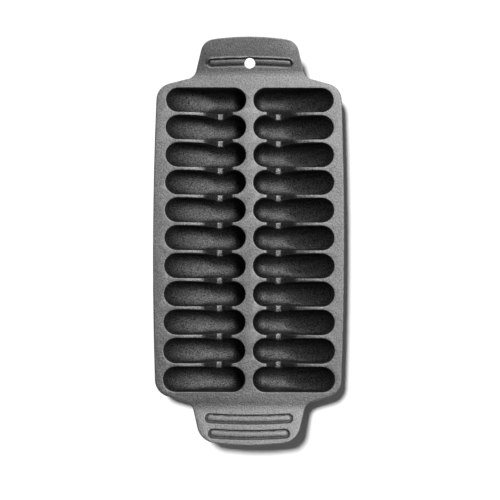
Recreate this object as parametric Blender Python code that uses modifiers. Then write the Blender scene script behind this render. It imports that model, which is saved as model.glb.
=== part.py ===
# Shrimp grill pan: one grey-iron casting with 22 shrimp-shaped wells in two columns,
# a scooped notch in each rib between neighbouring wells, two lifted grip tabs with finger
# slots, and a hanging hole. Lengths are in metres. X runs across the pan, Y along it towards
# the grip with the hole, Z points up, and the feet stand on Z = 0.
import math

import bmesh
import bpy
from mathutils import Vector

MM = 0.001

# Wells
WELL_ROWS = 11
WELL_PITCH = 30.7 * MM
WELL_LENGTH = 88.5 * MM
WELL_WIDTH = 27.2 * MM
WELL_DEPTH = 25.0 * MM
WELL_STRAIGHT = 15.0 * MM  # the drafted sides turn into the round floor at this depth
WELL_DRAFT = math.radians(3.6)
WELL_RIM_ROUND = 0.8 * MM
WELL_HEAD_ROUND = 14.0 * MM  # the floor curls up this far out from the blunt end
WELL_TAIL_RUN = 40.0 * MM  # length of the scooped slope at the outer end
WELL_TAIL_POWER = 1.6
WELL_TAIL_EASE = 16.0 * MM  # more length, over which the slope runs out into the floor
WELL_EASE_POWER = 4
CENTRE_BAR = 8.3 * MM

# Iron round the wells
WALL = 4.0 * MM
FOOT_FLAT = 0.6 * MM  # the rounded underside loses this much and stands flat
SPINE_OVERLAP = 2.0 * MM  # the two columns of pods cross the middle line by this much
DECK_THICKNESS = 5.0 * MM
DECK_EDGE_ROUND = 0.9 * MM

# Notches in the ribs, measured outwards from the pan's middle line
NOTCH_DEPTH = 18.0 * MM
NOTCH_KNEE_DEPTH = 5.6 * MM
NOTCH_START = 18.8 * MM
NOTCH_INNER_RUN = 10.6 * MM
NOTCH_FLOOR = 5.8 * MM
NOTCH_STEEP_RUN = 14.2 * MM
NOTCH_GENTLE_RUN = 18.2 * MM
NOTCH_ROUND = 2.0 * MM

# Deck outline
SIDE_MARGIN = 9.4 * MM  # iron beside the outer ends of the corner wells
SIDE_BOW = 3.4 * MM
CORNER_RADIUS = 19.0 * MM
CORNER_PAST_WELLS = 1.2 * MM  # the corner's point, before rounding, past the last wells
NECK_RADIUS = 12.0 * MM

# Grip tabs
END_MARGIN = 16.4 * MM  # from the last well to the bend of the grip
NECK_SETBACK = 4.2 * MM  # the outline's waist comes this far before the bend
GRIP_REACH = 39.0 * MM
GRIP_RISE = math.radians(15.0)
GRIP_BEND_HALF = 4.0 * MM
GRIP_ROOT_WIDTH = 122.8 * MM
GRIP_TIP_WIDTH = 103.0 * MM
GRIP_CROWN = 4.6 * MM
GRIP_CORNER_RADIUS = 16.0 * MM

# Finger slots, each with a low rounded bar along it, and the hanging hole
SLOT_DEPTH = 1.5 * MM
SLOT_WIDTH = 10.4 * MM
SLOT_SAG = 1.4 * MM
BAR_WIDTH = 7.6 * MM
BAR_BELOW_FACE = 0.3 * MM
TOP_SLOT_OUT = 11.8 * MM  # from the bend to the slot's middle
TOP_SLOT_LENGTH = 94.2 * MM
LOWER_SLOTS_OUT = (13.5 * MM, 30.1 * MM)
LOWER_SLOT_LENGTHS = (94.6 * MM, 87.4 * MM)
HOLE_DIAMETER = 12.0 * MM
HOLE_OUT = 11.3 * MM

# Facets, and the tolerances of the modelling itself
WELL_END_STEPS = 7
WELL_FLOOR_PARTS = (0.52, 0.84, 0.98)  # where the rings lie in the round floor, 1 at its bottom
POD_FLOOR_PARTS = (0.5, 0.83)
BEND_CUTS = (-1, -0.33, 0.33, 1)  # folds across a bend, in halves of its length
BAR_SHAPE = ((1, 0), (0.8, 0.6), (0.45, 0.92), (0.1, 1))  # parts of its width and height
POD_END_STEPS = 6
CORNER_STEPS = 5
NOTCH_CORNER_STEPS = 2
SIDE_STEPS = 8
CROWN_STEPS = 4
SLOT_STEPS = 4
HOLE_SIDES = 28
DECK_EDGE_ANGLE = math.radians(60)  # edges sharper than this are rounded
MERGE = 0.01 * MM
ON_PLANE = 0.001 * MM
NEAR_FOLD = 0.6 * MM  # outline points this near a fold are moved onto it
STAND_OUT = 3.0 * MM  # a cutter reaches this far out of what it cuts

# Finish
IRON_COLOUR = (0.15, 0.15, 0.152, 1)
IRON_ROUGHNESS = 0.5
IRON_METALLIC = 0.8

# Worked out from the sizes above
DECK_TOP = WELL_DEPTH + WALL
WELL_INNER_END = CENTRE_BAR / 2
WELL_OUTER_END = WELL_INNER_END + WELL_LENGTH
BANK_END = (WELL_ROWS - 1) / 2 * WELL_PITCH + WELL_WIDTH / 2
BEND_Y = BANK_END + END_MARGIN
TIP_Y = BEND_Y + GRIP_REACH


def clear_scene():
    for old in list(bpy.data.objects):
        bpy.data.objects.remove(old, do_unlink=True)


def new_collection(name):
    collection = bpy.data.collections.new(name)
    bpy.context.scene.collection.children.link(collection)
    return collection


def mesh_object(name, mesh, collection):
    obj = bpy.data.objects.new(name, mesh)
    collection.objects.link(obj)
    return obj


def finished_bmesh(name, bm, collection):
    bmesh.ops.recalc_face_normals(bm, faces=bm.faces)
    mesh = bpy.data.meshes.new(name)
    bm.to_mesh(mesh)
    bm.free()
    return mesh_object(name, mesh, collection)


def as_cutter(obj):
    obj.hide_render = True
    obj.display_type = "WIRE"
    return obj


def rounded_outline(corners, steps):
    # Each corner is (x, y, radius); a radius of 0 leaves the point as it is.
    points = []
    for index, (x, y, radius) in enumerate(corners):
        corner = Vector((x, y))
        if radius == 0:
            points.append(corner)
            continue
        back = (Vector(corners[index - 1][:2]) - corner).normalized()
        onward = (Vector(corners[(index + 1) % len(corners)][:2]) - corner).normalized()
        half = back.angle(onward) / 2
        centre = corner + (back + onward).normalized() * (radius / math.sin(half))
        start = (corner + back * (radius / math.tan(half)) - centre).normalized()
        end = (corner + onward * (radius / math.tan(half)) - centre).normalized()
        for step in range(steps + 1):
            points.append(centre + start.slerp(end, step / steps) * radius)
    return points


def extruded_outline(name, points, bottom, top, collection):
    # A filled flat curve, extruded both ways from its middle height, then made a mesh.
    curve = bpy.data.curves.new(name, "CURVE")
    curve.dimensions = "2D"
    curve.fill_mode = "BOTH"
    curve.extrude = (top - bottom) / 2
    spline = curve.splines.new("POLY")
    spline.points.add(len(points) - 1)
    for point, (x, y) in zip(spline.points, points):
        point.co = (x, y, 0, 1)
    spline.use_cyclic_u = True
    drawn = mesh_object(name + "_curve", curve, collection)
    drawn.location.z = (top + bottom) / 2
    bpy.context.view_layer.update()
    evaluated = drawn.evaluated_get(bpy.context.evaluated_depsgraph_get())
    mesh = bpy.data.meshes.new_from_object(evaluated)
    mesh.name = name
    bm = bmesh.new()
    bm.from_mesh(mesh)
    bmesh.ops.remove_doubles(bm, verts=bm.verts, dist=MERGE)
    bmesh.ops.recalc_face_normals(bm, faces=bm.faces)
    bm.to_mesh(mesh)
    bm.free()
    solid = mesh_object(name, mesh, collection)
    solid.matrix_world = drawn.matrix_world.copy()
    bpy.data.objects.remove(drawn, do_unlink=True)
    return solid


def move_into_mesh(obj):
    bpy.context.view_layer.update()
    obj.data.transform(obj.matrix_world)
    obj.matrix_world.identity()


def grip_lift(y):
    # Height that the casting gains at a distance y from the pan's middle.
    past = abs(y) - BEND_Y
    slope = math.tan(GRIP_RISE)
    if past <= -GRIP_BEND_HALF:
        return 0.0
    if past >= GRIP_BEND_HALF:
        return slope * past
    return slope * (past + GRIP_BEND_HALF) ** 2 / (4 * GRIP_BEND_HALF)


def lift_grips(obj):
    for vertex in obj.data.vertices:
        vertex.co.z += grip_lift(vertex.co.y)


def deck_corners():
    # Clockwise round the outline, from the side's middle on the right.
    root_x = GRIP_ROOT_WIDTH / 2
    root_y = BEND_Y - NECK_SETBACK
    tip_x = GRIP_TIP_WIDTH / 2
    tip_y = TIP_Y - GRIP_CROWN
    side_x = WELL_OUTER_END + SIDE_MARGIN
    side_y = BANK_END + CORNER_PAST_WELLS
    quarter = []
    for step in range(SIDE_STEPS + 1):
        y = side_y * step / SIDE_STEPS
        bow = SIDE_BOW * (1 - (y / side_y) ** 2)
        radius = CORNER_RADIUS if step == SIDE_STEPS else 0
        quarter.append((side_x + bow, y, radius))
    quarter.append((root_x, root_y, NECK_RADIUS))
    quarter.append((tip_x, tip_y, GRIP_CORNER_RADIUS))
    for step in range(1, CROWN_STEPS + 1):
        x = tip_x * (1 - step / CROWN_STEPS)
        quarter.append((x, TIP_Y - GRIP_CROWN * (x / tip_x) ** 2, 0))
    top_left = [(-x, y, r) for x, y, r in reversed(quarter[:-1])]
    lower_left = [(-x, -y, r) for x, y, r in quarter[1:]]
    lower_right = [(x, -y, r) for x, y, r in reversed(quarter[1:-1])]
    return quarter + top_left + lower_left + lower_right


def fold_lines():
    return [side * (BEND_Y + cut * GRIP_BEND_HALF) for side in (-1, 1) for cut in BEND_CUTS]


def make_deck(collection):
    outline = rounded_outline(deck_corners(), CORNER_STEPS)
    deck = extruded_outline("pan_casting", outline, DECK_TOP - DECK_THICKNESS, DECK_TOP, collection)
    move_into_mesh(deck)
    bm = bmesh.new()
    bm.from_mesh(deck.data)
    for fold_y in fold_lines():
        for vertex in bm.verts:
            if abs(vertex.co.y - fold_y) < NEAR_FOLD:
                vertex.co.y = fold_y
        bmesh.ops.bisect_plane(
            bm,
            geom=bm.verts[:] + bm.edges[:] + bm.faces[:],
            plane_co=(0, fold_y, 0),
            plane_no=(0, 1, 0),
            dist=ON_PLANE,
        )
    bmesh.ops.recalc_face_normals(bm, faces=bm.faces)
    bm.to_mesh(deck.data)
    bm.free()
    lift_grips(deck)
    edge_round = deck.modifiers.new("edge_round", "BEVEL")
    edge_round.width = DECK_EDGE_ROUND
    edge_round.segments = 2
    edge_round.limit_method = "ANGLE"
    edge_round.angle_limit = DECK_EDGE_ANGLE
    return deck


def stadium(inner, outer, half_width, middle_y, z, end_steps):
    # A ring with a half ellipse at each end, for a well or a pod at one height.
    reach = min(half_width, (outer - inner) / 2)
    ring = []
    for end_x, start_angle in ((outer - reach, -math.pi / 2), (inner + reach, math.pi / 2)):
        for step in range(end_steps + 1):
            angle = start_angle + math.pi * step / end_steps
            x = end_x + reach * math.cos(angle)
            ring.append(Vector((x, middle_y + half_width * math.sin(angle), z)))
    return ring


def loft(bm, rings, side):
    # Join rings of equal count into one closed solid; side mirrors it to the other column.
    rows = []
    for ring in rings:
        rows.append([bm.verts.new((side * point.x, point.y, point.z)) for point in ring])
    count = len(rows[0])
    for lower, upper in zip(rows, rows[1:]):
        for i in range(count):
            j = (i + 1) % count
            bm.faces.new((lower[i], lower[j], upper[j], upper[i]))
    bm.faces.new(rows[0])
    bm.faces.new(rows[-1])


def round_floor(depth, floor_depth, radius_across):
    # Width factor of a floor that is elliptical below the straight walls.
    if depth <= WELL_STRAIGHT:
        return radius_across
    part = (depth - WELL_STRAIGHT) / (floor_depth - WELL_STRAIGHT)
    return radius_across * math.sqrt(max(0.0, 1 - part * part))


def drafted(depth):
    # How far the wall has come in at a depth, with the rim's rounding on top.
    round_part = max(0.0, 1 - depth / WELL_RIM_ROUND)
    return math.tan(WELL_DRAFT) * min(depth, WELL_STRAIGHT) - WELL_RIM_ROUND / 2 * round_part


def tail_run(depth):
    # How far the scooped end has come in at a depth: quickly at first, and level with the floor last.
    part = min(depth / WELL_DEPTH, 1.0)
    ease = 1 - math.sqrt(1 - part ** WELL_EASE_POWER)
    return WELL_TAIL_RUN * part ** WELL_TAIL_POWER + WELL_TAIL_EASE * ease


def well_rings(middle_y):
    wall_depths = [-STAND_OUT, 0, WELL_RIM_ROUND, WELL_STRAIGHT / 2, WELL_STRAIGHT]
    floor_depths = [WELL_STRAIGHT + part * (WELL_DEPTH - WELL_STRAIGHT) for part in WELL_FLOOR_PARTS]
    rings = []
    for depth in wall_depths + floor_depths:
        sunk = max(depth, 0)
        across = WELL_WIDTH / 2 - WELL_RIM_ROUND / 2 - drafted(sunk)
        half_width = round_floor(depth, WELL_DEPTH, across)
        head = WELL_HEAD_ROUND - round_floor(depth, WELL_DEPTH, WELL_HEAD_ROUND)
        inner = WELL_INNER_END + WELL_RIM_ROUND / 2 + drafted(sunk) + head
        outer = WELL_OUTER_END - WELL_RIM_ROUND / 2 - tail_run(sunk)
        rings.append(stadium(inner, outer, half_width, middle_y, DECK_TOP - depth, WELL_END_STEPS))
    return rings


def pod_rings(middle_y):
    # The outside of a well, one wall away from it, ending in a flat foot.
    floor_depth = WELL_DEPTH + WALL + FOOT_FLAT
    foot_depth = WELL_DEPTH + WALL
    round_depths = [WELL_STRAIGHT + part * (foot_depth - WELL_STRAIGHT) for part in POD_FLOOR_PARTS]
    rings = []
    for depth in [DECK_THICKNESS / 2, WELL_STRAIGHT] + round_depths + [foot_depth]:
        half_width = round_floor(depth, floor_depth, WELL_WIDTH / 2 - drafted(depth) + WALL)
        head_round = WELL_HEAD_ROUND + WELL_INNER_END + SPINE_OVERLAP
        inner = -SPINE_OVERLAP + head_round - round_floor(depth, floor_depth, head_round)
        outer = WELL_OUTER_END + WALL - tail_run(max(0.0, depth - WALL))
        rings.append(stadium(inner, outer, half_width, middle_y, DECK_TOP - depth, POD_END_STEPS))
    return rings


def row_middles():
    return [(row - (WELL_ROWS - 1) / 2) * WELL_PITCH for row in range(WELL_ROWS)]


def make_bank(name, rings_at, collection):
    bm = bmesh.new()
    for side in (-1, 1):
        for middle_y in row_middles():
            loft(bm, rings_at(middle_y), side)
    return as_cutter(finished_bmesh(name, bm, collection))


def notch_corners():
    floor_start = NOTCH_START + NOTCH_INNER_RUN
    floor_end = floor_start + NOTCH_FLOOR
    knee = floor_end + NOTCH_STEEP_RUN
    gentle_end = knee + NOTCH_GENTLE_RUN
    lip_slope = NOTCH_DEPTH / NOTCH_INNER_RUN
    gentle_slope = NOTCH_KNEE_DEPTH / NOTCH_GENTLE_RUN
    return [
        (NOTCH_START - STAND_OUT / lip_slope, STAND_OUT, 0),
        (floor_start, -NOTCH_DEPTH, NOTCH_ROUND),
        (floor_end, -NOTCH_DEPTH, NOTCH_ROUND),
        (knee, -NOTCH_KNEE_DEPTH, 2 * NOTCH_ROUND),
        (gentle_end, 0, 2 * NOTCH_ROUND),
        (gentle_end + STAND_OUT, STAND_OUT, 0),
    ]


def stand_profile_up(cutter):
    # The notch is drawn flat: its y becomes a height over the deck, and its depth runs along Y.
    bm = bmesh.new()
    bm.from_mesh(cutter.data)
    for vertex in bm.verts:
        x, z, y = vertex.co
        vertex.co = (x, y, DECK_TOP + z)
    bmesh.ops.recalc_face_normals(bm, faces=bm.faces)
    bm.to_mesh(cutter.data)
    bm.free()


def make_notches(collection):
    # One bar for each column runs through all its ribs, in the wells' open air between them.
    reach = (WELL_ROWS - 1) / 2 * WELL_PITCH
    cutters = []
    for side, name in ((-1, "left_notch_cutter"), (1, "right_notch_cutter")):
        points = [(side * x, z) for x, z in rounded_outline(notch_corners(), NOTCH_CORNER_STEPS)]
        cutter = extruded_outline(name, points, -reach, reach, collection)
        move_into_mesh(cutter)
        stand_profile_up(cutter)
        cutters.append(as_cutter(cutter))
    return cutters


def slot_outline(out, length, width, side):
    # A slot with round ends. Its ends sag back towards the bend, as the grip's crowned tip does.
    half_length = (length - width) / 2
    points = []
    for direction in (1, -1):
        for step in range(SLOT_STEPS + 1):
            x = direction * half_length * (2 * step / SLOT_STEPS - 1)
            sag = SLOT_SAG * (x / half_length) ** 2
            points.append((x, out - sag - direction * width / 2))
        for step in range(1, SLOT_STEPS):
            angle = math.pi * (step / SLOT_STEPS - 0.5)
            x = direction * (half_length + width / 2 * math.cos(angle))
            points.append((x, out - SLOT_SAG + direction * width / 2 * math.sin(angle)))
    return [(x, side * (BEND_Y + y)) for x, y in points]


def make_slot(name, out, length, side, collection):
    # One cutter for a slot and the half-round bar that is left standing in it: down the slot's
    # sides, in along its floor to the bar's foot, then up the bar, ever narrower to the crest.
    recess_floor = DECK_TOP - SLOT_DEPTH
    crest = DECK_TOP - BAR_BELOW_FACE
    levels = [(SLOT_WIDTH, DECK_TOP + STAND_OUT), (SLOT_WIDTH, recess_floor)]
    for width_part, height_part in BAR_SHAPE:
        levels.append((width_part * BAR_WIDTH, recess_floor + height_part * (crest - recess_floor)))
    rings = []
    for width, z in levels:
        outline = slot_outline(out, length - SLOT_WIDTH + width, width, side)
        rings.append([Vector((x, y, z)) for x, y in outline])
    bm = bmesh.new()
    loft(bm, rings, 1)
    cutter = finished_bmesh(name + "_cutter", bm, collection)
    lift_grips(cutter)
    return as_cutter(cutter)


def make_hole(collection):
    bm = bmesh.new()
    bmesh.ops.create_cone(
        bm,
        cap_ends=True,
        segments=HOLE_SIDES,
        radius1=HOLE_DIAMETER / 2,
        radius2=HOLE_DIAMETER / 2,
        depth=4 * DECK_THICKNESS,
    )
    cutter = as_cutter(finished_bmesh("hanging_hole_cutter", bm, collection))
    hole_y = BEND_Y + HOLE_OUT
    cutter.location = (0, hole_y, DECK_TOP + grip_lift(hole_y))
    return cutter


def add_boolean(target, name, operation, operand, overlapping=False):
    modifier = target.modifiers.new(name, "BOOLEAN")
    modifier.operation = operation
    modifier.object = operand
    modifier.solver = "EXACT"
    modifier.use_self = overlapping


def seasoned_iron():
    material = bpy.data.materials.new("seasoned_cast_iron")
    material.use_nodes = True
    shader = material.node_tree.nodes["Principled BSDF"]
    shader.inputs["Base Color"].default_value = IRON_COLOUR
    shader.inputs["Roughness"].default_value = IRON_ROUGHNESS
    shader.inputs["Metallic"].default_value = IRON_METALLIC
    return material


def build():
    clear_scene()
    parts = new_collection("shrimp_grill_pan")
    cutters = new_collection("cutters")
    pan = make_deck(parts)
    add_boolean(pan, "pods", "UNION", make_bank("pod_bank", pod_rings, cutters), overlapping=True)
    add_boolean(pan, "wells", "DIFFERENCE", make_bank("well_bank", well_rings, cutters))
    for cutter in make_notches(cutters):
        add_boolean(pan, cutter.name, "DIFFERENCE", cutter)
    slots = [make_slot("top_slot", TOP_SLOT_OUT, TOP_SLOT_LENGTH, 1, cutters)]
    for number, (out, length) in enumerate(zip(LOWER_SLOTS_OUT, LOWER_SLOT_LENGTHS), start=1):
        slots.append(make_slot("lower_slot_%d" % number, out, length, -1, cutters))
    for cutter in slots:
        add_boolean(pan, cutter.name, "DIFFERENCE", cutter)
    add_boolean(pan, "hanging_hole", "DIFFERENCE", make_hole(cutters))
    pan.data.materials.append(seasoned_iron())


build()
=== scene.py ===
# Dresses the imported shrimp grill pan: a finely modelled casting, its seasoned iron, a studio.
import math

import bmesh
import bpy
import numpy as np
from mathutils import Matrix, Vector


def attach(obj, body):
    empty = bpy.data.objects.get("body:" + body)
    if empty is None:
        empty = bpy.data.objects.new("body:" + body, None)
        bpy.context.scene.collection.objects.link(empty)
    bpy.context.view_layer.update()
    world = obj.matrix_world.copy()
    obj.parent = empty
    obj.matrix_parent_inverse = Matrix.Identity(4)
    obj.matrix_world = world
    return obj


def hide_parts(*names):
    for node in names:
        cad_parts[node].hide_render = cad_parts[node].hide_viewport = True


mm = 0.001
standOut = 3 * mm               # a cutter reaches this far out of the face that it cuts
mergeWithin = 0.01 * mm         # points nearer than this are one point

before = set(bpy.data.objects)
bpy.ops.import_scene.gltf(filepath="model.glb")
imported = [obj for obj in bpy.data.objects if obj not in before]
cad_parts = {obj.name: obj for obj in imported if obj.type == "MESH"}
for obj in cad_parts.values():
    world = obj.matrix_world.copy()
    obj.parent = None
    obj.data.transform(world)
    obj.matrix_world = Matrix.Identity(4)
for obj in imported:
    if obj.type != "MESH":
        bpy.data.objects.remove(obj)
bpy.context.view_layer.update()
print("frame loaded:", ", ".join(sorted(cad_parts)))

well = {
    "rows": 11,
    "pitch": 30.7 * mm,         # from one well's middle to the next
    "length": 88.5 * mm,
    "width": 27.2 * mm,
    "depth": 25.0 * mm,
    "straight": 15.0 * mm,      # the sides are straight down to here, then the floor rounds
    "draft": math.radians(3.6),
    "headRound": 14.0 * mm,     # the floor curls up this far out from the blunt inner end
    "tailRun": 40.0 * mm,       # length of the scooped slope at the outer end
    "tailPower": 1.6,
    "tailEase": 16.0 * mm,      # the slope runs out level into the floor over this length
    "easePower": 4,
    "centreBar": 8.3 * mm,      # iron between the two columns of wells
    "sideDepths": (0.0, 1.5 * mm, 3.5 * mm, 6 * mm, 9 * mm, 12 * mm),   # rings down the sides
    "floorLast": 0.97,          # the last ring lies this far round the floor's quarter turn
    "floorSteps": 9,
    "endSteps": 20,
}
shell = {
    "wall": 4.0 * mm,           # iron round and under each well
    "footFlat": 0.6 * mm,       # the rounded underside loses this much and stands flat
    "spine": 2.0 * mm,          # the two columns' walls cross the middle line by this much
    "sideDepths": (8 * mm, 11 * mm),    # rings below the deck, where the walls are straight
    "deck": 5.0 * mm,
    "edgeRound": 0.9 * mm,
    "edgeSteps": 3,
}
deckTop = well["depth"] + shell["wall"]
wellInner = well["centreBar"] / 2
wellOuter = wellInner + well["length"]
bankEnd = (well["rows"] - 1) / 2 * well["pitch"] + well["width"] / 2
rowMiddles = [(row - (well["rows"] - 1) / 2) * well["pitch"] for row in range(well["rows"])]


def settle(obj):
    # one object selected and active, everything else let go
    bpy.ops.object.select_all(action="DESELECT")
    obj.select_set(True)
    bpy.context.view_layer.objects.active = obj


def applyAll(obj):
    settle(obj)
    for modifier in list(obj.modifiers):
        bpy.ops.object.modifier_apply(modifier=modifier.name)


def faceOutwards():
    # leaves edit mode with all the faces of the active object turned outwards
    bpy.ops.mesh.select_all(action="SELECT")
    bpy.ops.mesh.normals_make_consistent(inside=False)
    bpy.ops.object.mode_set(mode="OBJECT")


def stadium(inner, outer, halfWidth, z):
    # ring of points: round end by the side margin, then round end by the centre bar
    steps = well["endSteps"]
    reach = min(halfWidth, (outer - inner) / 2)
    ring = []
    for endX, startAngle in ((outer - reach, -math.pi / 2), (inner + reach, math.pi / 2)):
        for step in range(steps + 1):
            angle = startAngle + math.pi * step / steps
            ring.append(Vector((endX + reach * math.cos(angle), halfWidth * math.sin(angle), z)))
    return ring


def extrudeRings(name, rings):
    # a filled circle is laid on the first ring, then extruded and reshaped ring by ring
    bpy.ops.object.select_all(action="DESELECT")
    bpy.ops.mesh.primitive_circle_add(vertices=len(rings[0]), radius=wellOuter, fill_type="NGON")
    obj = bpy.context.active_object
    obj.name = name
    bpy.ops.object.mode_set(mode="EDIT")
    shape = bmesh.from_edit_mesh(obj.data)
    for vert, point in zip(shape.verts, rings[0]):
        vert.co = point
    for ring in rings[1:]:
        bpy.ops.mesh.extrude_region()
        shape = bmesh.from_edit_mesh(obj.data)
        moved = [vert for vert in shape.verts if vert.select]
        for vert, point in zip(moved, ring):
            vert.co = point
    bmesh.update_edit_mesh(obj.data)
    faceOutwards()
    return obj


def roundedAt(depth, floorDepth, reach):
    # what the round floor leaves of a reach at this depth
    if depth <= well["straight"]:
        return reach
    part = (depth - well["straight"]) / (floorDepth - well["straight"])
    return reach * math.sqrt(max(0.0, 1 - part * part))


def floorDepths(floorDepth, last):
    # evenly spread round the quarter ellipse, so the curve keeps its shape
    drop = floorDepth - well["straight"]
    steps = well["floorSteps"]
    turns = [last * math.pi / 2 * step / steps for step in range(1, steps + 1)]
    return [well["straight"] + drop * math.sin(turn) for turn in turns]


def drafted(depth):
    return math.tan(well["draft"]) * min(depth, well["straight"])


def tailRun(depth):
    # how far the scooped slope has come in from the well's outer end
    part = min(max(depth / well["depth"], 0.0), 1.0)
    ease = 1 - math.sqrt(1 - part ** well["easePower"])
    return well["tailRun"] * part ** well["tailPower"] + well["tailEase"] * ease


def wellRings():
    depths = [-standOut, *well["sideDepths"], well["straight"]]
    depths += floorDepths(well["depth"], well["floorLast"])
    rings = []
    for depth in depths:
        sunk = max(depth, 0.0)
        halfWidth = roundedAt(sunk, well["depth"], well["width"] / 2 - drafted(sunk))
        head = well["headRound"] - roundedAt(sunk, well["depth"], well["headRound"])
        inner = wellInner + drafted(sunk) + head
        outer = wellOuter - tailRun(sunk)
        rings.append(stadium(inner, outer, halfWidth, deckTop - depth))
    return rings


def podRings():
    # the outside of a well's wall, from the middle of the deck down to the foot
    footDepth = well["depth"] + shell["wall"]
    floorDepth = footDepth + shell["footFlat"]
    depths = [shell["deck"] / 2, shell["deck"], *shell["sideDepths"], well["straight"]]
    depths += [depth for depth in floorDepths(floorDepth, 1.0) if depth < footDepth]
    depths.append(footDepth)
    rings = []
    for depth in depths:
        halfWidth = roundedAt(depth, floorDepth, well["width"] / 2 - drafted(depth) + shell["wall"])
        headRound = well["headRound"] + wellInner + shell["spine"]
        inner = -shell["spine"] + headRound - roundedAt(depth, floorDepth, headRound)
        outer = wellOuter + shell["wall"] - tailRun(depth - shell["wall"])
        rings.append(stadium(inner, outer, halfWidth, deckTop - depth))
    return rings


def copyToBank(master, name):
    # all the rows on the right, then their mirror images on the left, joined in one object
    bank = bmesh.new()
    for side in (1, -1):
        for middle in rowMiddles:
            one = bmesh.new()
            one.from_mesh(master.data)
            for vert in one.verts:
                vert.co = (side * vert.co.x, vert.co.y + middle, vert.co.z)
            if side < 0:
                bmesh.ops.reverse_faces(one, faces=one.faces)
            placed = bpy.data.meshes.new("placed")
            one.to_mesh(placed)
            one.free()
            bank.from_mesh(placed)
            bpy.data.meshes.remove(placed)
    mesh = bpy.data.meshes.new(name)
    bank.to_mesh(mesh)
    bank.free()
    bpy.data.objects.remove(master)
    obj = bpy.data.objects.new(name, mesh)
    bpy.context.scene.collection.objects.link(obj)
    return obj


deck = {
    "shift": -0.8 * mm,         # the long sides aren't quite true to the wells: they lie to one side,
    "drawIn": 0.9 * mm,         # are both drawn in,
    "taper": 0.0066,            # and widen towards the upper grip by this share of the way
    "sideMargin": 9.4 * mm,     # iron beside the outer ends of the corner wells
    "sideBow": 3.4 * mm,
    "sideSteps": 9,
    "cornerPastWells": 1.2 * mm,    # the corner's point, before rounding, past the last wells
    "cornerRadius": 19.0 * mm,
    "cornerSteps": 10,
    "neckRadius": 12.0 * mm,
    "bendPastWells": 16.4 * mm,     # from the last well to the bend of the grip
    "neckSetback": 4.2 * mm,    # the outline's waist comes this far before the bend
}
grip = {
    "reach": 39.0 * mm,         # from the bend to the tip, seen from above
    "rise": math.radians(15.0),
    "bendHalf": 4.0 * mm,       # the bend is this long on either side of its line
    "rootWidth": 122.8 * mm,
    "tipWidth": 103.0 * mm,
    "crown": 4.6 * mm,          # the tip's middle stands out past its corners by this much
    "crownSteps": 3,
    "cornerRadius": 16.0 * mm,
    "lowerCornerRadius": 21.0 * mm,
}
bendY = bankEnd + deck["bendPastWells"]
tipY = bendY + grip["reach"]


def roundedOutline(corners, steps):
    # corners are (x, y, radius); radius 0 keeps the point
    points = []
    for index, (x, y, radius) in enumerate(corners):
        corner = Vector((x, y))
        if radius == 0:
            points.append(corner)
            continue
        back = (Vector(corners[index - 1][:2]) - corner).normalized()
        onward = (Vector(corners[(index + 1) % len(corners)][:2]) - corner).normalized()
        half = back.angle(onward) / 2
        centre = corner + (back + onward).normalized() * (radius / math.sin(half))
        start = (corner + back * (radius / math.tan(half)) - centre).normalized()
        end = (corner + onward * (radius / math.tan(half)) - centre).normalized()
        points += [centre + start.slerp(end, step / steps) * radius for step in range(steps + 1)]
    return points


def meshFromCurve(obj):
    # merged into one closed mesh, which the Booleans need
    settle(obj)
    bpy.ops.object.convert(target="MESH")
    bpy.ops.object.transform_apply(location=True, rotation=False, scale=False)
    bpy.ops.object.mode_set(mode="EDIT")
    bpy.ops.mesh.select_all(action="SELECT")
    bpy.ops.mesh.remove_doubles(threshold=mergeWithin)
    faceOutwards()
    return bpy.context.active_object


def slabFromOutline(name, points, bottom, top, edge=0.0):
    # a filled flat curve, thickened, with its edges rounded by the curve's own bevel
    curve = bpy.data.curves.new(name, "CURVE")
    curve.dimensions = "2D"
    curve.fill_mode = "BOTH"
    curve.extrude = (top - bottom) / 2 - edge
    curve.bevel_depth = edge
    curve.bevel_resolution = shell["edgeSteps"]
    curve.offset = -edge
    spline = curve.splines.new("POLY")
    spline.points.add(len(points) - 1)
    for point, (x, y) in zip(spline.points, points):
        point.co = (x, y, 0, 1)
    spline.use_cyclic_u = True
    obj = bpy.data.objects.new(name, curve)
    obj.location.z = (top + bottom) / 2
    bpy.context.scene.collection.objects.link(obj)
    return meshFromCurve(obj)


def asCast(x, y, radius):
    # only the long sides are nudged against the wells, and the grips stay as they are
    if abs(y) > bankEnd + deck["cornerPastWells"]:
        return x, y, radius
    side = math.copysign(1, x)
    return x + deck["shift"] - side * deck["drawIn"] + side * deck["taper"] * y, y, radius


def deckQuarter(tipRadius):
    # corners from the middle of the right side, round the neck, to the middle of the grip's tip
    rootX, rootY = grip["rootWidth"] / 2, bendY - deck["neckSetback"]
    tipX, tipSideY = grip["tipWidth"] / 2, tipY - grip["crown"]
    sideX, sideY = wellOuter + deck["sideMargin"], bankEnd + deck["cornerPastWells"]
    sideSteps, crownSteps = deck["sideSteps"], grip["crownSteps"]
    quarter = []
    for step in range(sideSteps + 1):
        y = sideY * step / sideSteps
        radius = deck["cornerRadius"] if step == sideSteps else 0
        quarter.append((sideX + deck["sideBow"] * (1 - (y / sideY) ** 2), y, radius))
    quarter.append((rootX, rootY, deck["neckRadius"]))
    quarter.append((tipX, tipSideY, tipRadius))
    for step in range(1, crownSteps + 1):
        x = tipX * (1 - step / crownSteps)
        quarter.append((x, tipY - grip["crown"] * (x / tipX) ** 2, 0))
    return quarter


def deckCorners():
    upper = deckQuarter(grip["cornerRadius"])
    lower = deckQuarter(grip["lowerCornerRadius"])
    upperLeft = [(-x, y, radius) for x, y, radius in reversed(upper[:-1])]
    lowerLeft = [(-x, -y, radius) for x, y, radius in lower[1:]]
    lowerRight = [(x, -y, radius) for x, y, radius in reversed(lower[1:-1])]
    return [asCast(*corner) for corner in upper + upperLeft + lowerLeft + lowerRight]


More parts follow.
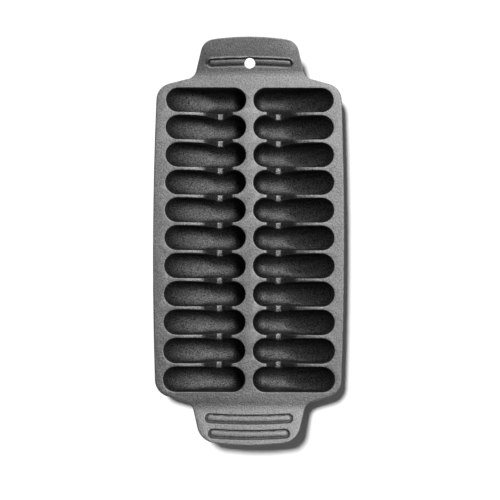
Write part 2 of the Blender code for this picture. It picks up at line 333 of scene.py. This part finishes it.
notch = {
    "depth": 18.0 * mm,
    "kneeDepth": 3.6 * mm,
    "start": 18.8 * mm,         # from the pan's middle line to the inner lip
    "innerRun": 10.6 * mm,      # of the steep inner flank
    "floor": 5.8 * mm,
    "steepRun": 14.2 * mm,      # of the outer flank, up to its knee
    "round": 2.0 * mm,
    "kneeRound": 12.0 * mm,
    "cornerSteps": 5,
    "fadeRun": 26.0 * mm,       # past the knee the slope fades out to the rib's top over this length
    "fadePower": 1.6,
    "fadeAbove": 0.1 * mm,      # and comes out this far above it
    "fadeSteps": 9,
}


def notchCutter(side):
    # one profile, drawn with X outwards and Y upwards, and pushed through all the ribs of a side
    floorStart = notch["start"] + notch["innerRun"]
    floorEnd = floorStart + notch["floor"]
    knee = floorEnd + notch["steepRun"]
    lip = standOut * notch["innerRun"] / notch["depth"]     # carries the inner flank on upwards
    fade = []
    for step in range(1, notch["fadeSteps"] + 1):
        part = step / notch["fadeSteps"]
        below = notch["kneeDepth"] * (1 - part) ** notch["fadePower"]
        fade.append((knee + notch["fadeRun"] * part, notch["fadeAbove"] - below, 0))
    corners = [
        (notch["start"] - lip, standOut, 0),
        (floorStart, -notch["depth"], notch["round"]),
        (floorEnd, -notch["depth"], notch["round"]),
        (knee, -notch["kneeDepth"], notch["kneeRound"]),
    ] + fade + [(fade[-1][0], standOut, 0)]
    reach = rowMiddles[-1]
    outline = roundedOutline(corners, notch["cornerSteps"])
    cutter = slabFromOutline("notchCutter", outline, -reach, reach)
    settle(cutter)
    for vert in cutter.data.vertices:
        x, z, y = vert.co
        vert.co = (side * x, y, deckTop + z)
    bpy.ops.object.mode_set(mode="EDIT")
    faceOutwards()
    return cutter


slot = {
    "width": 10.4 * mm,
    "sag": 1.4 * mm,            # a slot's ends lie this much nearer to the bend than its middle
    "endSteps": 12,
    # rings in millimetres: width, depth below the face, shift towards the upper grip
    "recess": ((7.8, 2.0, 0), (8.8, 1.0, 0), (9.7, 0.3, 0), (10.4, 0, 0), (10.4, -3, 0)),
    "ridge": (
        (6.4, 3.0, 0.1), (6.4, 2.0, 0.1), (5.8, 1.35, 0.4),
        (4.4, 0.9, 0.8), (2.6, 0.7, 1.1), (0.9, 0.65, 1.2),
    ),
    "lipRadius": 1.6 * mm,      # the raised lip along the far edge of the upper grip's slot
    "lipSteps": 4,
    "lipSink": 0.5 * mm,        # its middle lies this far below the face
    "lipOut": -0.1 * mm,        # and this far outside the slot's edge
    "places": (
        # side of the pan, middle line's distance past the bend, length, share of the full width
        (1, 11.8 * mm, 94.2 * mm, 0.88),
        (-1, 12.6 * mm, 94.6 * mm, 1.0),
        (-1, 28.4 * mm, 87.4 * mm, 1.0),
    ),
}
hole = {
    "radius": 6.0 * mm,
    "pastBend": 11.3 * mm,
    "sides": 64,
    "cutLength": 30 * mm,       # of the cylinder that cuts it
}


def slotOutline(side, out, length, width):
    # two long edges, each followed by a round end
    halfLength = (length - width) / 2
    steps = slot["endSteps"]
    points = []
    for direction in (1, -1):
        for step in range(steps + 1):
            x = direction * halfLength * (2 * step / steps - 1)
            points.append((x, out - slot["sag"] * (x / halfLength) ** 2 - direction * width / 2))
        for step in range(1, steps):
            angle = math.pi * (step / steps - 0.5)
            x = direction * (halfLength + width / 2 * math.cos(angle))
            points.append((x, out - slot["sag"] + direction * width / 2 * math.sin(angle)))
    return [(x, side * (bendY + y)) for x, y in points]


def slotSolid(name, side, out, length, share, sizes):
    # a ring's length shrinks with its width
    rings = []
    for width, below, shift in sizes:
        width *= share * mm
        narrower = length - slot["width"] * share + width
        outline = slotOutline(side, out + side * shift * mm, narrower, width)
        rings.append([Vector((x, y, deckTop - below * mm)) for x, y in outline])
    return extrudeRings(name, rings)


def slotLip(side, out, length, share):
    # follows the half of the slot's outline that is away from the bend
    width = slot["width"] * share + 2 * slot["lipOut"]
    curve = bpy.data.curves.new("lip", "CURVE")
    curve.dimensions = "3D"
    curve.bevel_depth = slot["lipRadius"]
    curve.bevel_resolution = slot["lipSteps"]
    curve.use_fill_caps = True
    start = bendY + out - slot["sag"]
    outline = slotOutline(side, out, length + 2 * slot["lipOut"], width)
    kept = sorted((x, y) for x, y in outline if side * y >= start)
    spline = curve.splines.new("POLY")
    spline.points.add(len(kept) - 1)
    for point, (x, y) in zip(spline.points, kept):
        point.co = (x, y, deckTop - slot["lipSink"], 1)
    obj = bpy.data.objects.new("lip", curve)
    bpy.context.scene.collection.objects.link(obj)
    return meshFromCurve(obj)


def combine(target, other, operation, solver="MANIFOLD"):
    # the exact solver also takes a shape whose parts overlap each other, as the pods do
    modifier = target.modifiers.new(operation.lower(), "BOOLEAN")
    modifier.operation = operation
    modifier.solver = solver
    modifier.use_self = solver == "EXACT"
    modifier.object = other
    applyAll(target)
    bpy.data.objects.remove(other)


surface = {
    "voxel": 0.6 * mm,
    "smoothFactor": 0.5,
    "smoothPasses": 2,
    "triangles": 185000,
    "reliefPasses": 4,
    "reliefFull": 0.3,          # bend, per millimetre, that counts as a full edge or crease
}


def liftGrips(obj):
    # a parabola joins the level deck to each sloping grip over the length of the bend
    slope = math.tan(grip["rise"])
    half = grip["bendHalf"]
    for vert in obj.data.vertices:
        past = abs(vert.co.y) - bendY
        if past >= half:
            vert.co.z += slope * past
        elif past > -half:
            vert.co.z += slope * (past + half) ** 2 / (4 * half)


def makeCasting():
    outline = roundedOutline(deckCorners(), deck["cornerSteps"])
    deckBottom = deckTop - shell["deck"]
    casting = slabFromOutline("panCasting", outline, deckBottom, deckTop, shell["edgeRound"])
    podBank = copyToBank(extrudeRings("podMaster", podRings()), "podBank")
    combine(casting, podBank, "UNION", solver="EXACT")
    print("undersides of the wells joined to the deck")
    wellBank = copyToBank(extrudeRings("wellMaster", wellRings()), "wellBank")
    combine(casting, wellBank, "DIFFERENCE")
    print("wells sunk")
    for side in (-1, 1):
        combine(casting, notchCutter(side), "DIFFERENCE")
    print("notches cut through the ribs")
    combine(casting, slotLip(*slot["places"][0]), "UNION")
    for place in slot["places"]:
        combine(casting, slotSolid("recess", *place, slot["recess"]), "DIFFERENCE")
        combine(casting, slotSolid("ridge", *place, slot["ridge"]), "UNION")
    bpy.ops.mesh.primitive_cylinder_add(
        vertices=hole["sides"],
        radius=hole["radius"],
        depth=hole["cutLength"],
        location=(0, bendY + hole["pastBend"], deckTop),
    )
    combine(casting, bpy.context.active_object, "DIFFERENCE")
    print("finger slots and hanging hole cut")
    return casting


def markRelief(obj):
    # a point attribute: above 0 on outward edges, below 0 in creases, where the iron's colour gets
    # painted shade
    mesh = obj.data
    count = len(mesh.vertices)
    where = np.empty(count * 3)
    mesh.vertices.foreach_get("co", where)
    where = where.reshape(count, 3)
    normals = np.empty(count * 3)
    mesh.vertices.foreach_get("normal", normals)
    normals = normals.reshape(count, 3)
    ends = np.empty(len(mesh.edges) * 2, dtype=np.int64)
    mesh.edges.foreach_get("vertices", ends)
    one, other = ends.reshape(-1, 2).T
    neighbours = np.bincount(one, minlength=count) + np.bincount(other, minlength=count)

    def averaged(values):
        total = np.bincount(one, values[other], count) + np.bincount(other, values[one], count)
        return total / np.maximum(neighbours, 1)

    # bend per millimetre, from how far a point stands out of its neighbours' middle
    middle = np.stack([averaged(where[:, axis]) for axis in range(3)], axis=1)
    bend = 2 * ((where - middle) * normals).sum(axis=1) / surface["voxel"] ** 2 * mm
    for _ in range(surface["reliefPasses"]):
        bend = (bend + averaged(bend)) / 2
    relief = mesh.attributes.new("relief", "FLOAT", "POINT")
    relief.data.foreach_set("value", np.clip(bend / surface["reliefFull"], -1, 1))


def finishSurface(casting):
    remesh = casting.modifiers.new("sandCast", "REMESH")
    remesh.mode = "VOXEL"
    remesh.voxel_size = surface["voxel"]
    soften = casting.modifiers.new("soften", "SMOOTH")
    soften.factor = surface["smoothFactor"]
    soften.iterations = surface["smoothPasses"]
    applyAll(casting)
    liftGrips(casting)
    print("surface remeshed:", len(casting.data.polygons), "faces")
    markRelief(casting)
    thin = casting.modifiers.new("thin", "DECIMATE")
    thin.ratio = surface["triangles"] / (2 * len(casting.data.polygons))
    applyAll(casting)
    bpy.ops.object.shade_smooth()
    print("surface thinned:", len(casting.data.polygons), "faces")


panCasting = makeCasting()
finishSurface(panCasting)
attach(panCasting, "root")
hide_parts("pan_casting")


iron = {
    "deck": (0.2, 0.2, 0.202, 1),
    "wellShade": (0.078, 0.078, 0.079, 1),   # painted shade: darker down in the wells, where less light reaches
    "fade": 7.0 * mm,           # depth at which the deck's tone has turned into the wells'
    "fadeTop": 0.4 * mm,        # depth at which it begins to turn, fast at first
    "fadePower": 2.2,
    "deckFleck": (0.63, 1.42),  # darkest and lightest grain, against the tone round it
    "castFleck": (0.18, 2.05),
    "cloud": (0.96, 1.04),      # range of the broad, faint blotches
    "cloudScale": 28.0,
    "cloudDetail": 3.0,
    "cloudRoughness": 0.6,
    "creaseShade": 0.5,              # painted shade: tone left in the deepest creases
    "deckEdge": 1.3,            # and on the sharpest edges, up here and down in the wells
    "castEdge": 2.1,
    "land": 1.7,                # painted highlight: the flat floors of the notches are made this much lighter
    "landBelow": 1.5 * mm,      # heights about the floor that get the painted highlight
    "landAbove": 0.7 * mm,
    "landSoft": 0.5 * mm,
    "roughness": (0.46, 0.53),
    "metallic": 0.92,
    "grain": 1.4 * mm,          # size of the sand's grain, left by the mould
    "grainDetail": 2.0,
    "grainRoughness": 0.55,
    "bump": 0.3 * mm,
}
noiseLow, noiseHigh = 0.3, 0.7  # nearly all of a noise's values lie between these


def node(tree, kind, **inputs):
    made = tree.nodes.new(kind)
    for name, value in inputs.items():
        made.inputs[name.replace("_", " ")].default_value = value
    return made


def spread(tree, source, low, high, fromLow=noiseLow, fromHigh=noiseHigh):
    # stretches fromLow to fromHigh over low to high
    made = node(tree, "ShaderNodeMapRange", From_Min=fromLow, From_Max=fromHigh, To_Min=low, To_Max=high)
    tree.links.new(source, made.inputs["Value"])
    return made.outputs["Result"]


def worked(tree, operation, first, second=None):
    # one sum, on numbers or on other nodes' outputs
    made = tree.nodes.new("ShaderNodeMath")
    made.operation = operation
    for socket, value in zip(made.inputs, (first, second)):
        if isinstance(value, float):
            socket.default_value = value
        elif value:
            tree.links.new(value, socket)
    return made.outputs["Value"]


def within(tree, source, low, high):
    # 1 between low and high, with soft ends
    soft = iron["landSoft"]
    above = spread(tree, source, 0.0, 1.0, low - soft, low)
    below = spread(tree, source, 1.0, 0.0, high, high + soft)
    return worked(tree, "MULTIPLY", above, below)


def mixed(tree, level, below, above):
    # the first factor holds down in the wells, the second up on the deck
    made = tree.nodes.new("ShaderNodeMix")
    for socket, source in (("Factor", level), ("A", below), ("B", above)):
        tree.links.new(source, made.inputs[socket])
    return made.outputs["Result"]


def tinted(tree, colour, amount):
    # the colour made darker or lighter by a factor
    made = tree.nodes.new("ShaderNodeVectorMath")
    made.operation = "SCALE"
    tree.links.new(colour, made.inputs[0])
    tree.links.new(amount, made.inputs["Scale"])
    return made.outputs["Vector"]


def paintedLandHighlight(tree, axes):
    # painted highlight: a factor that is above 1 only on the flat floors of the notches
    start = notch["start"] + notch["innerRun"]
    level = deckTop - notch["depth"]
    along = within(tree, worked(tree, "ABSOLUTE", axes.outputs["X"]), start, start + notch["floor"])
    height = within(tree, axes.outputs["Z"], level - iron["landBelow"], level + iron["landAbove"])
    return spread(tree, worked(tree, "MULTIPLY", along, height), 1.0, iron["land"], 0.0, 1.0)


def ironMaterial():
    material = bpy.data.materials.new("seasonedIronWithPaintedLight")
    material.use_nodes = True
    tree = material.node_tree
    shader = tree.nodes["Principled BSDF"]
    shader.inputs["Metallic"].default_value = iron["metallic"]
    place = tree.nodes.new("ShaderNodeTexCoord")
    axes = tree.nodes.new("ShaderNodeSeparateXYZ")
    tree.links.new(place.outputs["Object"], axes.inputs["Vector"])
    grain = node(
        tree,
        "ShaderNodeTexNoise",
        Scale=1 / iron["grain"],
        Detail=iron["grainDetail"],
        Roughness=iron["grainRoughness"],
    )
    cloud = node(
        tree,
        "ShaderNodeTexNoise",
        Scale=iron["cloudScale"],
        Detail=iron["cloudDetail"],
        Roughness=iron["cloudRoughness"],
    )
    for texture in (grain, cloud):
        tree.links.new(place.outputs["Object"], texture.inputs["Vector"])
    # painted shade: below fadeTop the deck's tone turns into the darker well tone, standing in for the
    # shade in the wells
    fadeStart, fadeEnd = deckTop - iron["fade"], deckTop - iron["fadeTop"]
    climb = spread(tree, axes.outputs["Z"], 0.0, 1.0, fadeStart, fadeEnd)
    level = worked(tree, "POWER", climb, iron["fadePower"])
    tone = tree.nodes.new("ShaderNodeMix")
    tone.data_type = "RGBA"
    tree.links.new(level, tone.inputs["Factor"])
    tone.inputs["A"].default_value = iron["wellShade"]
    tone.inputs["B"].default_value = iron["deck"]
    speckle = grain.outputs["Fac"]
    castFleck = spread(tree, speckle, *iron["castFleck"])
    deckFleck = spread(tree, speckle, *iron["deckFleck"])
    flecked = tinted(tree, tone.outputs["Result"], mixed(tree, level, castFleck, deckFleck))
    clouded = tinted(tree, flecked, spread(tree, cloud.outputs["Fac"], *iron["cloud"]))
    attribute = tree.nodes.new("ShaderNodeAttribute")
    attribute.attribute_name = "relief"
    relief = attribute.outputs["Fac"]
    # painted shade: creases darkened where the relief is below 0
    creaseShaded = tinted(tree, clouded, spread(tree, relief, iron["creaseShade"], 1.0, -1.0, 0.0))
    # lighter on outward edges, where the relief is above 0, more down in the wells than on the deck
    castEdge = spread(tree, relief, 1.0, iron["castEdge"], 0.0, 1.0)
    deckEdge = spread(tree, relief, 1.0, iron["deckEdge"], 0.0, 1.0)
    edgesLightened = tinted(tree, creaseShaded, mixed(tree, level, castEdge, deckEdge))
    # last, the painted highlight on the notches' flat floors
    tree.links.new(tinted(tree, edgesLightened, paintedLandHighlight(tree, axes)), shader.inputs["Base Color"])
    tree.links.new(spread(tree, speckle, *iron["roughness"]), shader.inputs["Roughness"])
    bump = node(tree, "ShaderNodeBump", Strength=1.0, Distance=iron["bump"])
    tree.links.new(speckle, bump.inputs["Height"])
    tree.links.new(bump.outputs["Normal"], shader.inputs["Normal"])
    return material


panCasting.data.materials.clear()
panCasting.data.materials.append(ironMaterial())
print("iron laid on:", ", ".join(material.name for material in panCasting.data.materials))

lens = {
    "focal": 950.0,             # in pixels of the frame
    "frame": 500.0,             # pixels across
    "sensor": 36.0,             # millimetres across
    "tilt": math.radians(5.23),
    "roll": math.radians(0.17),
    "eyeHeight": 1032.2 * mm,   # above the deck
    "aimX": 1.07 * mm,          # where the camera's axis meets the deck
    "aimY": -13.4 * mm,
}


def makeCamera():
    data = bpy.data.cameras.new("camera")
    data.sensor_width = lens["sensor"]
    data.lens = lens["focal"] / lens["frame"] * data.sensor_width
    camera = bpy.data.objects.new("camera", data)
    bpy.context.scene.collection.objects.link(camera)
    back = lens["eyeHeight"] * math.tan(lens["tilt"])
    camera.location = (lens["aimX"], lens["aimY"] - back, deckTop + lens["eyeHeight"])
    camera.rotation_euler = (lens["tilt"], 0, lens["roll"])
    bpy.context.scene.camera = camera


studio = {
    "boxes": {
        # softboxes over the iron alone: compass bearing, lean from overhead, distance, watts
        "north": (0.0, math.radians(50), 5.2, 74.0),
        "northEast": (math.radians(32), math.radians(28), 5.2, 111.0),
        "east": (math.radians(84), math.radians(24), 2.4, 14.0),
    },
    "boxSpread": 0.3,           # width of a box, as a share of its distance
    "sunFrom": (-0.31, 0.34, 1.0),  # gives the pan its soft shadow on the floor
    "sunSpread": math.radians(11),
    "sunStrength": 4.0,
    "floorFill": 0.35,          # an even light that keeps the floor's shadow grey
    "fillSpread": math.radians(160),
    "ceiling": 0.1,             # the dim room overhead
    "backdrop": 1.0,            # the pale band round the horizon
    "bandTop": (0.06, 0.3),     # sines of the heights over which the band fades
    "throughHole": 60.0,        # watts of a thin beam that shows the floor through the hanging hole
    "beamWidth": math.radians(1.0),
    "floorSize": 12.0,
    "floorDrop": 0.3 * mm,      # keeps the floor clear of the feet
    "floorTone": 0.86,
    "floorRoughness": 0.9,
    "floorShine": 0.1,
}


def lightOnly(lamp, receivers):
    # the lamp lights just these objects, while everything still blocks it
    group = bpy.data.collections.new(lamp.name + "Receives")
    for obj in receivers:
        group.objects.link(obj)
    lamp.light_linking.receiver_collection = group


def addLamp(name, data, place, aim=(0, 0, 0)):
    lamp = bpy.data.objects.new(name, data)
    bpy.context.scene.collection.objects.link(lamp)
    lamp.location = place
    lamp.rotation_euler = (Vector(aim) - Vector(place)).to_track_quat("-Z", "Y").to_euler()
    return lamp


def makeFloor():
    bpy.ops.object.select_all(action="DESELECT")
    bpy.ops.mesh.primitive_plane_add(size=studio["floorSize"], location=(0, 0, -studio["floorDrop"]))
    floor = bpy.context.active_object
    floor.name = "floor"
    material = bpy.data.materials.new("whiteFloor")
    material.use_nodes = True
    shader = material.node_tree.nodes["Principled BSDF"]
    shader.inputs["Base Color"].default_value = (studio["floorTone"],) * 3 + (1,)
    shader.inputs["Roughness"].default_value = studio["floorRoughness"]
    shader.inputs["Specular IOR Level"].default_value = studio["floorShine"]
    floor.data.materials.append(material)
    return floor


def makeWorld():
    world = bpy.data.worlds.new("studio")
    world.use_nodes = True
    tree = world.node_tree
    place = tree.nodes.new("ShaderNodeTexCoord")
    axes = tree.nodes.new("ShaderNodeSeparateXYZ")
    tree.links.new(place.outputs["Generated"], axes.inputs["Vector"])
    glow = spread(tree, axes.outputs["Z"], studio["backdrop"], studio["ceiling"], *studio["bandTop"])
    tree.links.new(glow, tree.nodes["Background"].inputs["Strength"])
    bpy.context.scene.world = world


def hangBoxes():
    for name, (bearing, lean, distance, watts) in studio["boxes"].items():
        box = bpy.data.lights.new(name, "AREA")
        box.shape = "DISK"
        box.size = studio["boxSpread"] * distance
        box.energy = watts
        across = math.sin(lean)
        place = Vector((math.sin(bearing) * across, math.cos(bearing) * across, math.cos(lean)))
        lightOnly(addLamp(name, box, place * distance), [panCasting])


def lightFloor(floor):
    sun = bpy.data.lights.new("shadowSun", "SUN")
    sun.angle = studio["sunSpread"]
    sun.energy = studio["sunStrength"]
    lightOnly(addLamp("shadowSun", sun, studio["sunFrom"]), [floor])
    fill = bpy.data.lights.new("floorFill", "SUN")
    fill.angle = studio["fillSpread"]
    fill.energy = studio["floorFill"]
    lightOnly(addLamp("floorFill", fill, (0, 0, 1)), [floor])
    beam = bpy.data.lights.new("holeBeam", "SPOT")
    beam.spot_size = studio["beamWidth"]
    beam.shadow_soft_size = 0.0
    beam.energy = studio["throughHole"]
    holeY = bendY + hole["pastBend"]
    rise = math.tan(grip["rise"]) * hole["pastBend"]
    eye = bpy.context.scene.camera.location
    lightOnly(addLamp("holeBeam", beam, eye, (0, holeY, deckTop + rise)), [floor])


bpy.context.scene.view_settings.view_transform = "Standard"
makeCamera()
makeWorld()
hangBoxes()
lightFloor(makeFloor())
print("camera placed and studio lit")
